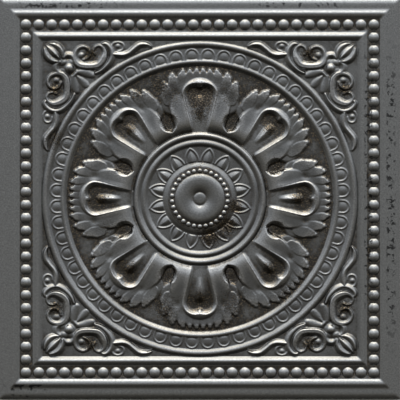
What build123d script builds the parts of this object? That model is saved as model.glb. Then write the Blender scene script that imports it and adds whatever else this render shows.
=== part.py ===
"""A square relief wall tile of glazed ceramic, pressed in a die as one piece and fired.

The tile lies on its back. The origin is the middle of the back face, and +Z points out of the
glazed face. From the edge inwards the face has a rounded arris, a plain band, a half-round
ridge, a row of beads, a second half-round ridge, and a sunken square field. In the field stand
a round medallion and, in each corner, a scroll ornament. The medallion has an egg moulding
between two rings, a rosette of eight leaves with hollow spoon-shaped hearts, two more rings,
sixteen small petals, a ring of fine beads and a dished boss with a button.
Lengths are in millimetres and angles in degrees.
"""

import math
import os

from build123d import *

# Slab. A level is a height above the back face.
tile_side = 200.0
band_level = 8.6
field_level = 6.4
arris_radius = 1.2
back_chamfer = 0.6

# Square mouldings. A place is a distance from the tile's middle to the moulding's centre line.
ridge_place = 92.25
ridge_width = 5.0
ridge_rise = 1.9
bead_place = 86.7
bead_radius = 2.85
bead_rise = 2.3
beads_per_side = 28
fillet_place = 81.2
fillet_width = 4.9
fillet_rise = 1.7

# Medallion rings. A ring's radius is that of its crest.
outer_ring_radius = 77.0
outer_ring_width = 4.2
outer_ring_level = 9.9
egg_band_level = 8.2
inner_ring_radius = 68.1
inner_ring_width = 2.7
inner_ring_level = 9.5

# Egg moulding: each egg stands in an arch.
egg_count = 56
egg_place = 71.7
egg_width = 4.3
egg_rise = 1.0
arch_gap = 0.5
arch_wall = 0.9
arch_rise = 0.8

# Leaves of the rosette. A place is a distance from the tile's middle.
leaf_count = 8
spoon_head_place = 51.8
spoon_head_radius = 8.7
spoon_foot_place = 33.0
spoon_foot_radius = 4.1
spoon_level = 10.2
spoon_slope = 18.0
spoon_rim = 0.6
hollow_depth = 2.8
hollow_slope = 30.0
rib_radius = 2.7
rib_level = 8.9
lobe_level = 8.5
shoulder_level = 9.2

# Rings, petals, beads and boss in the middle of the rosette.
leaf_root_radius = 36.2
leaf_root_level = 8.9
heart_ring_radius = 31.6
heart_ring_width = 3.3
heart_ring_level = 9.7
ring_groove_level = 8.0
petal_ring_radius = 27.8
petal_ring_width = 3.1
petal_ring_level = 9.4
petal_count = 16
petal_field_level = 8.0
petal_half_width = 2.5
petal_edge = 0.7
petal_groove = 0.5
petal_rise = 0.8
petal_tip_inset_ratio = 1.5
petal_bulge_at = 0.6
petal_bulge = 0.8
collar_foot_radius = 18.1
collar_radius = 15.8
collar_level = 9.7
fine_bead_count = 30
fine_bead_radius = 1.4
boss_radius = 11.9
boss_level = 10.4
boss_round = 1.0
dish_level = 9.2
dish_bow = 0.3
button_radius = 3.3
button_level = 9.9
button_slope_run = 0.4

# Corner ornaments.
ornament_level = 8.6
bud_place = 6.1
bud_width = 11.4
bud_rise = 2.3
bud_petal_radius = 1.8
bud_petal_level = 9.0
rosette_place = 13.7
rosette_petal_radius = 2.6
rosette_spread = 2.5
scroll_radius = 1.9
volute_radius = 2.0
volute_bar_radius = 1.2
tail_radius = 1.3

# How far an ornament is rooted in the ground below it.
root_depth = 1.0

pocket_half = fillet_place - fillet_width / 2
seat_level = field_level - root_depth


def segment_radius(width, rise):
    """Radius of the circle whose segment has this width and rise."""
    return (width * width / 4 + rise * rise) / (2 * rise)


def polar_point(place, angle):
    """Point at a distance and an angle from the middle."""
    turn = math.radians(angle)
    return (place * math.cos(turn), place * math.sin(turn))


def corner_point(along, inwards):
    """Point at these distances from the two walls that meet in a corner of the field."""
    return (pocket_half - along, pocket_half - inwards)


def square_moulding(place, width, rise, level):
    """Adds a half-round bar round a square, mitred at its corners."""
    radius = segment_radius(width, rise)
    with BuildLine() as route:
        Polyline(
            (place, 0, level),
            (place, place, level),
            (-place, place, level),
            (-place, -place, level),
            (place, -place, level),
            close=True,
        )
    across = Plane(origin=(place, 0, level), x_dir=(1, 0, 0), z_dir=(0, 1, 0))
    with BuildSketch(across) as section:
        with Locations((0, radius - rise)):
            Circle(radius)
    sweep(sections=section.sketch, path=route.wires()[0], transition=Transition.RIGHT)


def round_bar(points, radius, level, ground=field_level):
    """Adds a round bar with round ends through points, lying flat on the ground.

    Its axis is never above the ground, so that the bar isn't undercut.
    """
    axis_level = min(level - radius, ground)
    with BuildLine() as route:
        if len(points) == 2:
            Line((*points[0], axis_level), (*points[1], axis_level))
        else:
            Spline(*[(*point, axis_level) for point in points])
    with BuildSketch(Plane(origin=route.line @ 0, z_dir=route.line % 0)) as section:
        Circle(radius)
    sweep(sections=section.sketch, path=route.line)
    with Locations(route.line @ 0, route.line @ 1):
        Sphere(radius)


# The egg moulding's ground and its two rings, as one turned piece.
outer_ring_outside = outer_ring_radius + outer_ring_width / 2
outer_ring_inside = outer_ring_radius - outer_ring_width / 2
inner_ring_outside = inner_ring_radius + inner_ring_width / 2
inner_ring_inside = inner_ring_radius - inner_ring_width / 2

with BuildPart() as egg_band:
    with BuildSketch(Plane.XZ):
        with BuildLine():
            Polyline(
                (inner_ring_inside, egg_band_level),
                (inner_ring_inside, seat_level),
                (outer_ring_outside, seat_level),
                (outer_ring_outside, egg_band_level),
            )
            ThreePointArc(
                (outer_ring_outside, egg_band_level),
                (outer_ring_radius, outer_ring_level),
                (outer_ring_inside, egg_band_level),
            )
            Line((outer_ring_inside, egg_band_level), (inner_ring_outside, egg_band_level))
            ThreePointArc(
                (inner_ring_outside, egg_band_level),
                (inner_ring_radius, inner_ring_level),
                (inner_ring_inside, egg_band_level),
            )
        make_face()
    revolve(axis=Axis.Z)

# One egg in its arch, on +X, running down to the inner ring.
egg_radius = egg_width / 2
arch_inside = egg_radius + arch_gap
arch_outside = arch_inside + arch_wall
egg_run = egg_place - inner_ring_outside
arch_middle = (egg_place + inner_ring_outside) / 2

with BuildPart() as egg:
    with BuildSketch(Plane.XY.offset(egg_band_level - root_depth)):
        with Locations((egg_place, 0)):
            Circle(arch_outside)
        with Locations((arch_middle, 0)):
            Rectangle(egg_run, 2 * arch_outside)
        with Locations((egg_place, 0)):
            Circle(arch_inside, mode=Mode.SUBTRACT)
        with Locations((arch_middle, 0)):
            Rectangle(egg_run, 2 * arch_inside, mode=Mode.SUBTRACT)
        with Locations((inner_ring_outside - arch_outside, 0)):
            Rectangle(2 * arch_outside, 2 * arch_outside, mode=Mode.SUBTRACT)
    extrude(amount=root_depth + arch_rise)
    round_bar(
        [(egg_place, 0), (inner_ring_outside, 0)],
        egg_radius,
        egg_band_level + egg_rise,
        egg_band_level,
    )

# The rings, petal field, collar, boss and button, as one turned piece.
heart_ring_outside = heart_ring_radius + heart_ring_width / 2
heart_ring_inside = heart_ring_radius - heart_ring_width / 2
petal_ring_outside = petal_ring_radius + petal_ring_width / 2
petal_ring_inside = petal_ring_radius - petal_ring_width / 2
fine_bead_place = (boss_radius + collar_radius) / 2 + boss_round / 2
bead_channel_level = collar_level - fine_bead_radius / 2
dish_edge = (boss_radius - boss_round, boss_level)
dish_foot = (button_radius, dish_level)
dish_middle = ((dish_edge[0] + dish_foot[0]) / 2, (boss_level + dish_level) / 2 - dish_bow)

with BuildPart() as heart:
    with BuildSketch(Plane.XZ):
        with BuildLine():
            Polyline(
                (0, button_level),
                (0, seat_level),
                (leaf_root_radius, seat_level),
                (leaf_root_radius, leaf_root_level),
                (heart_ring_outside, ring_groove_level),
            )
            ThreePointArc(
                (heart_ring_outside, ring_groove_level),
                (heart_ring_radius, heart_ring_level),
                (heart_ring_inside, ring_groove_level),
            )
            Line((heart_ring_inside, ring_groove_level), (petal_ring_outside, ring_groove_level))
            ThreePointArc(
                (petal_ring_outside, ring_groove_level),
                (petal_ring_radius, petal_ring_level),
                (petal_ring_inside, petal_field_level),
            )
            Polyline(
                (petal_ring_inside, petal_field_level),
                (collar_foot_radius, petal_field_level),
                (collar_radius, collar_level),
                (collar_radius, bead_channel_level),
                (boss_radius, bead_channel_level),
                (boss_radius, boss_level - boss_round),
                dish_edge,
            )
            ThreePointArc(dish_edge, dish_middle, dish_foot)
            Polyline(dish_foot, (button_radius - button_slope_run, button_level), (0, button_level))
        make_face()
    revolve(axis=Axis.Z)

# One pointed petal on +X: a raised edge round a smaller petal.
petal_base = collar_foot_radius
petal_tip = petal_ring_inside - petal_edge


def petal_outline(inset, mode=Mode.ADD):
    """Adds a pointed arch, standing on the collar's foot, smaller by an inset."""
    side = petal_half_width - inset
    tip = petal_tip - petal_tip_inset_ratio * inset
    bulge_place = petal_base + petal_bulge_at * (tip - petal_base)
    bulge_side = petal_bulge * side
    with BuildLine() as outline:
        ThreePointArc((petal_base, side), (bulge_place, bulge_side), (tip, 0))
        ThreePointArc((tip, 0), (bulge_place, -bulge_side), (petal_base, -side))
        Line((petal_base, -side), (petal_base, side))
    make_face(outline.edges(), mode=mode)


with BuildPart() as petal:
    with BuildSketch(Plane.XY.offset(petal_field_level - root_depth)):
        petal_outline(0)
        petal_outline(petal_edge, Mode.SUBTRACT)
        petal_outline(petal_edge + petal_groove)
    extrude(amount=root_depth + petal_rise)

# One leaf on +X: a hollow spoon with a rib, two shoulders, and the lobes of the frill.
# A bar has a root, a tip and a radius. A frill's root and tip are given as a distance inwards
# from the inner ring and an angle, and the shoulder's as a place and an angle.
shoulder = ((38.0, 15.0), (45.6, 12.8), 3.0)
frill = [
    ((20.2, 19.0), (16.3, 19.6), 2.2),
    ((15.7, 15.5), (10.8, 17.1), 2.3),
    ((12.7, 12.0), (6.9, 12.7), 2.4),
    ((9.7, 8.6), (5.8, 8.4), 2.2),
    ((8.0, 4.6), (4.6, 4.7), 1.75),
    ((8.0, 1.5), (4.5, 1.5), 1.65),
]
spoon_height = spoon_level - seat_level
rim_inset = spoon_height * math.tan(math.radians(spoon_slope)) + spoon_rim

with BuildPart() as leaf:
    with BuildSketch(Plane.XY.offset(seat_level)):
        with Locations((spoon_head_place, 0)):
            Circle(spoon_head_radius)
        with Locations((spoon_foot_place, 0)):
            Circle(spoon_foot_radius)
        make_hull()
    extrude(amount=spoon_height, taper=spoon_slope)
    for side in (1, -1):
        for root, tip, radius in frill:
            root_point = polar_point(inner_ring_inside - root[0], side * root[1])
            tip_point = polar_point(inner_ring_inside - tip[0], side * tip[1])
            round_bar([root_point, tip_point], radius, lobe_level)
        root, tip, radius = shoulder
        root_point = polar_point(root[0], side * root[1])
        tip_point = polar_point(tip[0], side * tip[1])
        round_bar([root_point, tip_point], radius, shoulder_level)
    with BuildSketch(Plane.XY.offset(spoon_level)):
        with Locations((spoon_head_place, 0)):
            Circle(spoon_head_radius - rim_inset)
        with Locations((spoon_foot_place, 0)):
            Circle(spoon_foot_radius - rim_inset / 2)
        make_hull()
    extrude(amount=-hollow_depth, taper=hollow_slope, mode=Mode.SUBTRACT)
    round_bar([(spoon_foot_place, 0), (spoon_head_place, 0)], rib_radius, rib_level)

# One corner ornament: half of it along a wall, its mirror image about the diagonal, and the bud
# and the rosette that stand on the diagonal.
# Points are distances from the walls of the field's corner.
bud_petal_root = (8.4, 8.4)
bud_petal_tip = (3.9, 3.9)
scroll_points = [(19.2, 8.6), (21.3, 11.8), (24.7, 13.1), (28.6, 11.6), (30.6, 8.2)]
volute_places = [(20.2, 6.5), (28.6, 5.6)]
leaflet_bars = [
    ([(31.9, 1.9), (33.7, 4.0), (35.0, 7.0)], 1.2),
    ([(17.4, 16.7), (21.2, 17.3), (25.4, 17.6)], 1.5),
    ([(17.6, 19.6), (23.4, 21.6)], 1.3),
]
spiral_place = (38.3, 3.6)
tail_points = [(37.0, 5.6), (40.2, 6.8), (42.8, 4.6), (45.3, 2.4), (49.1, 1.6), (52.9, 1.9)]

with BuildPart() as corner:
    round_bar([corner_point(*point) for point in scroll_points], scroll_radius, ornament_level)
    for place in volute_places + [spiral_place]:
        with Locations((*corner_point(*place), field_level)):
            Torus(volute_radius, volute_bar_radius)
    for points, radius in leaflet_bars:
        round_bar([corner_point(*point) for point in points], radius, ornament_level)
    round_bar([corner_point(*point) for point in tail_points], tail_radius, ornament_level)
    mirror(about=Plane(origin=(0, 0, 0), z_dir=(1, -1, 0)))
    bud_curve = segment_radius(bud_width, bud_rise)
    bud_centre_level = field_level + bud_rise - bud_curve
    with Locations((*corner_point(bud_place, bud_place), bud_centre_level)):
        Sphere(bud_curve, arc_size1=0, align=(Align.CENTER, Align.CENTER, Align.MIN))
    round_bar(
        [corner_point(*bud_petal_root), corner_point(*bud_petal_tip)],
        bud_petal_radius,
        bud_petal_level,
        bud_petal_level - bud_petal_radius,
    )
    with Locations((*corner_point(rosette_place, rosette_place), field_level)):
        Sphere(rosette_petal_radius)
        with PolarLocations(rosette_spread, 4, start_angle=45):
            Sphere(rosette_petal_radius)

with BuildPart() as tile:
    # Slab with a rounded arris and the sunken field.
    Box(tile_side, tile_side, band_level, align=(Align.CENTER, Align.CENTER, Align.MIN))
    fillet(tile.edges().group_by(Axis.Z)[-1], arris_radius)
    chamfer(tile.edges().group_by(Axis.Z)[0], back_chamfer)
    with BuildSketch(Plane.XY.offset(field_level)):
        Rectangle(2 * pocket_half, 2 * pocket_half)
    extrude(amount=band_level, mode=Mode.SUBTRACT)

    # Square mouldings, and the beads between them.
    square_moulding(ridge_place, ridge_width, ridge_rise, band_level)
    square_moulding(fillet_place, fillet_width, fillet_rise, band_level)
    bead_pitch = 2 * bead_place / (beads_per_side - 1)
    bead_centre_level = band_level + bead_rise - bead_radius
    side_row = [
        (bead_place, step * bead_pitch - bead_place, bead_centre_level)
        for step in range(beads_per_side - 1)
    ]
    with PolarLocations(0, 4):
        with Locations(*side_row):
            Sphere(bead_radius)

    # Medallion and corner ornaments.
    add(egg_band.part)
    add(heart.part)
    with PolarLocations(0, egg_count, start_angle=180 / egg_count):
        add(egg.part)
    with PolarLocations(0, petal_count, start_angle=180 / petal_count):
        add(petal.part)
    with PolarLocations(fine_bead_place, fine_bead_count):
        with Locations((0, 0, bead_channel_level)):
            Sphere(fine_bead_radius)
    with PolarLocations(0, leaf_count):
        add(leaf.part)
    with PolarLocations(0, 4):
        add(corner.part)

tile.part.label = "tile"
os.makedirs("parts", exist_ok=True)
export_step(tile.part, "parts/tile.step")
print("solids", len(tile.solids()), "volume", tile.part.volume, "valid", tile.part.is_valid)
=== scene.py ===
# %% [markdown]
# # A relief wall tile, cell by cell
# The tile was pressed in a die and fired as one piece, so everything on its face is one skin of
# clay under one coat of glaze. In Blender the same idea works well: one height rule says how far
# the face stands above the back at any place, and grids of points are lifted to that height.
# All sizes below are in millimetres, and a place is measured from the tile's middle.

# %% Load the frame
import math

import bpy
import numpy as np
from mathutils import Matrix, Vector


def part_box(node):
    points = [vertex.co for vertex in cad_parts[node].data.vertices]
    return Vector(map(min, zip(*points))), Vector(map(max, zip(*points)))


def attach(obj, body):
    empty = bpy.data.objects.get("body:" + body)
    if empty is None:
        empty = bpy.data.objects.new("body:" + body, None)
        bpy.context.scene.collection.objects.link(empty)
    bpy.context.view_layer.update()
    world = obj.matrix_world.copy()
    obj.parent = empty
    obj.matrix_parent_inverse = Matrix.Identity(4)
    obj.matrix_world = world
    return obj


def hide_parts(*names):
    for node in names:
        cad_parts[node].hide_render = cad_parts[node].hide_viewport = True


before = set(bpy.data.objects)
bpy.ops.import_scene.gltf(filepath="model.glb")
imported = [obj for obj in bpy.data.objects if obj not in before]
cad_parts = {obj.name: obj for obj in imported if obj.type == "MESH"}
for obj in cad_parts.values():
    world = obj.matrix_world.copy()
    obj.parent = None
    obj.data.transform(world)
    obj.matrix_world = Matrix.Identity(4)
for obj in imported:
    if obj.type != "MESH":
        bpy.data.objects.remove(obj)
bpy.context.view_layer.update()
MM = 0.001
low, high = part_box("tile")
HALF = (high.x - low.x) / 2 / MM
print("tile side", round(2 * HALF, 2), "mm, highest", round(high.z / MM, 2), "mm")

# %% [markdown]
# ## Tools of the height rule
# A pressed moulding is never a step: its edge rises in a small curve, and glaze fills every inner
# corner. Bevels on a mesh could give that, but plain rules work on whole arrays of points at once
# and stay the same however fine the mesh is. `ease` goes smoothly from 0 to 1. `dome` rises steeply
# at an edge and rounds off. `half_round` is the section of a bar with soft feet. `track` is a smooth
# curve through given points, like a section drawn by hand. `soft_max` joins two heights with a
# little fillet where they meet.

# %% Rules for edges and joins
def ease(start, end, value):
    """0 before start, 1 after end, and a smooth S between."""
    t = np.clip((value - start) / (end - start), 0.0, 1.0)
    return t * t * (3.0 - 2.0 * t)


def dome(inside, width, power):
    """0 at an edge, 1 where a point is this width inside it. A higher power makes the edge steeper."""
    t = np.clip(inside / width, 0.0, 1.0)
    return 1.0 - (1.0 - t) ** power


def soft_max(a, b, fillet):
    """The higher of two heights, with a fillet where they meet."""
    near = np.clip(1.0 - np.abs(a - b) / fillet, 0.0, 1.0)
    return np.maximum(a, b) + near * near * fillet / 4


def track(place, points):
    """A smooth curve through a few points of (place, level), level beyond its ends."""
    places, levels = np.array(points, dtype=float).T
    steps = np.diff(levels) / np.diff(places)
    slopes = np.concatenate([[0.0], (steps[1:] + steps[:-1]) / 2, [0.0]])
    slot = np.clip(np.searchsorted(places, place) - 1, 0, len(steps) - 1)
    run = places[slot + 1] - places[slot]
    t = np.clip((place - places[slot]) / run, 0.0, 1.0)
    rise = (levels[slot + 1] - levels[slot]) * ease(0.0, 1.0, t)
    bend = slopes[slot] * t * (1.0 - t) ** 2 - slopes[slot + 1] * t**2 * (1.0 - t)
    return levels[slot] + rise + bend * run


SOFT_FEET = 1.5


def half_round(offset, half_width):
    """Section of a rounded bar: 1 on its crest, 0 at its feet, which run out softly."""
    t = np.clip(np.abs(offset) / half_width, 0.0, 1.0)
    return (1.0 - t * t) ** SOFT_FEET


print("half-way down a half-round:", round(float(half_round(0.5, 1.0)), 2), "of its height")

# %% [markdown]
# ## Strokes
# Leaves, lobes and scrolls are all strokes of a modelling tool: a line with a width that changes
# along it, written as points of (x, y, half width). They could be drawn as curves and filled. A
# rule that says how deep inside the stroke a point lies can do more, because any edge can be built
# on it: a sharp scale, a round ridge or a band with a channel. It also tells on which side of the
# line the point is, and how far along.

# %% Where a point lies in a stroke
OUTSIDE = -1e9


def stroke_place(x, y, line):
    """Distance inside a stroke, side of its line (-1 to 1), share of its length, and half width."""
    best = np.full(np.shape(x), OUTSIDE)
    side, share, width = np.zeros(np.shape(x)), np.zeros(np.shape(x)), np.ones(np.shape(x))
    for k, ((ax, ay, ar), (bx, by, br)) in enumerate(zip(line[:-1], line[1:])):
        dx, dy = bx - ax, by - ay
        length = math.hypot(dx, dy)
        t = np.clip(((x - ax) * dx + (y - ay) * dy) / length**2, 0.0, 1.0)
        half = ar + t * (br - ar)
        inside = half - np.hypot(x - ax - t * dx, y - ay - t * dy)
        across = ((y - ay) * dx - (x - ax) * dy) / length / half
        nearer = inside > best
        side = np.where(nearer, np.clip(across, -1.0, 1.0), side)
        share = np.where(nearer, (k + t) / (len(line) - 1), share)
        width = np.where(nearer, half, width)
        best = np.maximum(best, inside)
    return best, side, share, width


def stroke(x, y, line):
    """Distance inside a stroke alone, negative outside it."""
    return stroke_place(x, y, line)[0]


print("the middle of a stroke 2 mm wide is", float(stroke(1.0, 0.0, [(0, 0, 1), (2, 0, 1)])), "mm inside")

# %% [markdown]
# ## Levels
# The whole face lives between a few levels above the back: the sunken field, the plain band at
# the edge, and the crests of the mouldings. The spandrels, where the corner ornaments lie, are a
# little less deep than the field round the leaves.

# %% Levels above the back
FIELD = 7.6
SPANDREL = 7.9
BAND = 8.6
EGG_BAND = 8.3

print("the corner fields lie", round(BAND - SPANDREL, 2), "mm below the band,")
print("and the field round the leaves", round(BAND - FIELD, 2), "mm")

# %% [markdown]
# ## The border
# From the edge inwards come a rounded arris, a plain band, a half-round ridge, a row of beads in a
# channel and a second half-round, the fillet, all mitred at the corners. Such a frame could be a
# profile swept along a square path. Here it is one more part of the height rule, because the map of
# the hollows has to read it too. A moulding is cut to one section along its whole length, so each
# is a list of points of its section, as distance from the middle and height. `c` is the distance
# from the middle to the square through a point. Only the beads depend on the place along the side.

# %% Border mouldings
CHANNEL = 8.4
FILLET_SECTION = [
    (78.3, SPANDREL), (78.5, 7.98), (78.8, 8.16), (79.2, 8.42), (79.7, 8.72), (80.2, 8.98), (80.6, 9.14),
    (80.9, 9.2), (81.2, 9.16), (81.5, 9.08), (81.9, 8.92), (82.2, 8.78), (82.5, 8.62), (82.7, 8.5),
    (82.9, CHANNEL),
]
RIDGE_SECTION = [
    (89.6, CHANNEL), (89.9, 8.5), (90.3, 8.72), (90.7, 8.93), (91.1, 9.1), (91.6, 9.23), (92.0, 9.29),
    (92.3, 9.3), (92.7, 9.23), (93.2, 9.05), (93.7, 8.86), (94.2, 8.7), (94.6, 8.62), (94.9, BAND),
]
RIM_SECTION = [(97.0, BAND), (97.6, 8.54), (98.2, 8.4), (98.8, 8.2), (99.4, 7.95), (HALF, 7.65)]
SECTION = FILLET_SECTION + RIDGE_SECTION + RIM_SECTION
BEADS, BEAD_PLACE, BEAD_RADIUS, BEAD_TOP = 28, 86.72, 2.9, 9.75
BEAD_PITCH = 2 * BEAD_PLACE / (BEADS - 1)
BEAD_CURVE = (BEAD_RADIUS**2 + (BEAD_TOP - CHANNEL) ** 2) / (2 * (BEAD_TOP - CHANNEL))


def border_height(x, y):
    """Height of the border at a point outside the sunken field."""
    c = np.maximum(np.abs(x), np.abs(y))
    along = np.minimum(np.abs(x), np.abs(y))
    height = track(c, SECTION)
    step = along / BEAD_PITCH - 0.5
    nearest = np.clip(np.round(step), 0, BEADS / 2 - 1)
    gap = np.hypot((step - nearest) * BEAD_PITCH, c - BEAD_PLACE)
    bead = BEAD_TOP - BEAD_CURVE + np.sqrt(np.clip(BEAD_CURVE**2 - gap**2, 0.0, None))
    return np.where(gap < BEAD_RADIUS, np.maximum(height, bead), height)


print("a bead every", round(BEAD_PITCH, 2), "mm, each the cap of a ball of radius", round(BEAD_CURVE, 2))

# %% [markdown]
# ## Rings of the medallion
# A turned ring has a crest and two feet, and its feet may stand at different levels. A torus would
# have equal feet and a steeper wall, so a ring is written as three points of its section instead:
# inner foot, crest and outer foot. The same rule makes all four rings of the medallion.

# %% A turned ring
OUTER_RING = [(74.9, EGG_BAND), (77.1, 9.25), (79.3, SPANDREL)]
INNER_RING = [(66.1, FIELD), (68.3, 8.88), (69.7, EGG_BAND)]
NOTHING = -1.0


def ring(r, section):
    """Height of a ring at a distance r from the middle, and nothing outside its feet."""
    (inner_foot, inner_level), (crest, crest_level), (outer_foot, outer_level) = section
    inner = r < crest
    half = np.where(inner, crest - inner_foot, outer_foot - crest)
    foot = np.where(inner, inner_level, outer_level)
    height = foot + (crest_level - foot) * half_round(r - crest, half)
    return np.where((r >= inner_foot) & (r <= outer_foot), height, NOTHING)


print("the outer ring is", round(OUTER_RING[2][0] - OUTER_RING[0][0], 2), "mm wide")

# %% [markdown]
# ## Egg moulding
# Fifty-six eggs stand between the two outer rings, each in a thin arch with a small dart between
# neighbours. One could model one egg and copy it round with an array. Here the angle is folded
# instead, so that every point sees its own egg, and egg, ring and ground are one skin.

# %% Eggs, arches and darts
EGGS = 56
EGG_MIDDLE, EGG_APEX = 71.4, 70.7
EGG_RADIUS, EGG_SLOPE, EGG_POWER, EGG_RISE, EGG_SHORTER = 2.3, 2.2, 1.8, 0.34, 1.55
ARCH_RADIUS, ARCH_HALF, ARCH_RISE = 3.12, 0.6, 0.36
DART_FROM, DART_TO, DART_HALF, DART_RISE, DART_TAPER = 69.2, 71.6, 0.55, 0.35, 0.16


def fold(angle, count, shift=0.0):
    """Angle from the nearest of many like motifs, spaced evenly round the circle."""
    pitch = 2 * math.pi / count
    return angle - pitch * (np.round(angle / pitch - shift) + shift)


def egg_height(r, angle):
    """Height of the egg moulding between its two rings."""
    v = np.abs(r * fold(angle, EGGS, 0.5))
    reach = np.where(r > EGG_MIDDLE, np.hypot(r - EGG_MIDDLE, v), v)
    arch = ARCH_RISE * half_round(reach - ARCH_RADIUS, ARCH_HALF)
    ahead = np.where(r > EGG_APEX, np.maximum(r - EGG_MIDDLE, 0.0), EGG_SHORTER * (EGG_APEX - r))
    egg = EGG_RISE * dome(EGG_RADIUS - np.hypot(ahead, v), EGG_SLOPE, EGG_POWER)
    dart_gap = np.abs(r * math.pi / EGGS - v) + DART_TAPER * np.clip(r - DART_FROM, 0.0, None)
    dart = DART_RISE * half_round(dart_gap, DART_HALF) * (r < DART_TO)
    return EGG_BAND + np.maximum.reduce([arch, egg, dart])


print("an egg every", round(2 * math.pi * EGG_MIDDLE / EGGS, 2), "mm")

# %% [markdown]
# ## The heart of the rosette
# Inside the leaves two rings stand close together round a flat field with sixteen petals. Then
# come a collar, a ring of fine beads, and a boss that dips like a funnel to a button. A potter
# would turn all this on a wheel. A Screw modifier could turn it too, but the petals aren't round,
# so everything stays in the height rule. Four tracks give the section of the boss outwards.

# %% Petals, collar, fine beads and boss
PETALS, PETAL_FIELD = 16, 8.0
PETAL_MIDDLE, PETAL_ARC, ARC_SHIFT = 19.4, 7.13, 3.93
OUTLINE_HALF, OUTLINE_RISE = 0.62, 0.42
INNER_INSET, INNER_SLOPE, INNER_POWER, INNER_RISE = 1.0, 2.1, 1.4, 0.7
FINE_BEADS, FINE_BEAD_PLACE, FINE_BEAD_RADIUS = 30, 13.85, 1.45
HEART_EDGE = 33.4
HEART_RINGS = [
    [(25.9, PETAL_FIELD), (27.85, 8.95), (29.5, 8.25)],
    [(29.5, 8.25), (31.65, 9.3), (33.5, 7.95)],
]
BUTTON = [(0.0, 9.55), (1.8, 9.5), (2.3, 9.43), (2.8, 9.29), (3.2, 9.05)]
DISH = [(3.2, 9.05), (3.7, 9.26), (4.4, 9.6), (5.1, 9.87), (6.0, 10.12), (7.0, 10.3), (8.5, 10.4)]
BOSS_RIM = [(9.0, 10.4), (10.2, 10.34), (11.0, 10.18), (11.6, 9.96), (12.1, 9.68), (12.5, 9.4)]
COLLAR = [(12.5, 9.4), (14.8, 9.05), (15.8, 8.94), (16.6, 8.7), (17.4, 8.34), (18.35, PETAL_FIELD)]


def petal_height(r, angle):
    """A raised pointed outline between two arcs, with a smaller, ridged petal inside it."""
    v = np.abs(r * fold(angle, PETALS, 0.5))
    inside = PETAL_ARC - np.hypot(r - PETAL_MIDDLE, v + ARC_SHIFT)
    outline = OUTLINE_RISE * half_round(inside, OUTLINE_HALF)
    inner = INNER_RISE * dome(inside - INNER_INSET, INNER_SLOPE, INNER_POWER)
    return PETAL_FIELD + np.maximum(outline, inner)


def boss_height(r):
    """Button, dish, boss, bead channel and collar. Each section begins at its first point."""
    height = track(r, BUTTON)
    for section in (DISH, BOSS_RIM, COLLAR):
        height = np.where(r >= section[0][0], track(r, section), height)
    return height


def heart_height(r, angle):
    """Everything inside the leaves."""
    height = np.where(r > COLLAR[-1][0], petal_height(r, angle), boss_height(r))
    return np.maximum.reduce([height] + [ring(r, section) for section in HEART_RINGS])


print("the boss stands", round(BOSS_RIM[0][1] - PETAL_FIELD, 2), "mm above the petals' field")

# %% [markdown]
# ## The eight leaves
# Each leaf is a hollow spoon with a rib down its middle, a smooth shoulder on each side, and small
# lobes that fan out behind it. Sculpting would suit such a form, but a sculpted leaf can't be
# written down in a script, while a section at a few places along it can. `u` runs outwards along
# the leaf and `v` across it. A leaf is the same on both sides, so one half of one leaf is enough.

# %% Spoon
HEAD, HEAD_RADIUS = 51.8, 8.6
FOOT, FOOT_RADIUS = 33.9, 4.1
CREST = [
    (33.4, 8.0), (36.0, 9.05), (39.0, 9.6), (44.0, 9.55), (49.0, 9.3), (52.5, 9.15), (55.5, 9.35),
    (59.0, 9.65),
]
WALL = [(35.0, 1.5), (38.0, 1.8), (45.0, 2.2), (52.0, 2.8), (56.0, 3.2)]
FLOOR = [(33.4, 8.0), (40.0, 8.2), (46.0, 7.85), (50.0, 7.45), (53.0, 7.25), (58.0, 7.4)]
RIB_RISE = [
    (38.5, 0.0), (40.0, 0.35), (42.0, 0.8), (45.0, 1.3), (48.0, 1.4), (50.0, 1.15), (51.2, 0.5),
    (52.0, 0.0),
]
RIB_HALF = [(38.5, 1.5), (42.0, 2.0), (44.0, 2.4), (48.0, 2.8), (50.0, 2.6), (52.0, 1.8)]
RIB_BLUNT, RIB_POWER, RIB_FILLET = 0.2, 1.15, 0.4
RIM_SIDE, RIM_AHEAD, AHEAD_POWER, RIM_POWER, BOWL_POWER = 0.3, 2.5, 2.6, 1.25, 1.5
SKIRT, SKIRT_GROWS, CUSP_GROWS = 0.5, (50.0, 54.0), (50.0, 56.0)
CUSP_HALF, CUSP_INSET, CUSP_WALL = 1.6, 0.35, 1.1
NUB_PLACE, NUB_RADIUS, NUB_RISE = 55.7, 1.3, 0.35


def capsule(u, v):
    """Distance inside the outline of the spoon: a large round head and a small foot."""
    length = HEAD - FOOT
    sine = (FOOT_RADIUS - HEAD_RADIUS) / length
    cosine = math.sqrt(1.0 - sine * sine)
    place = cosine * (u - FOOT) - sine * v
    near_foot = FOOT_RADIUS - np.hypot(u - FOOT, v)
    near_head = HEAD_RADIUS - np.hypot(u - HEAD, v)
    flank = FOOT_RADIUS - (cosine * v + sine * (u - FOOT))
    return np.where(place < 0, near_foot, np.where(place > cosine * length, near_head, flank))


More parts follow.
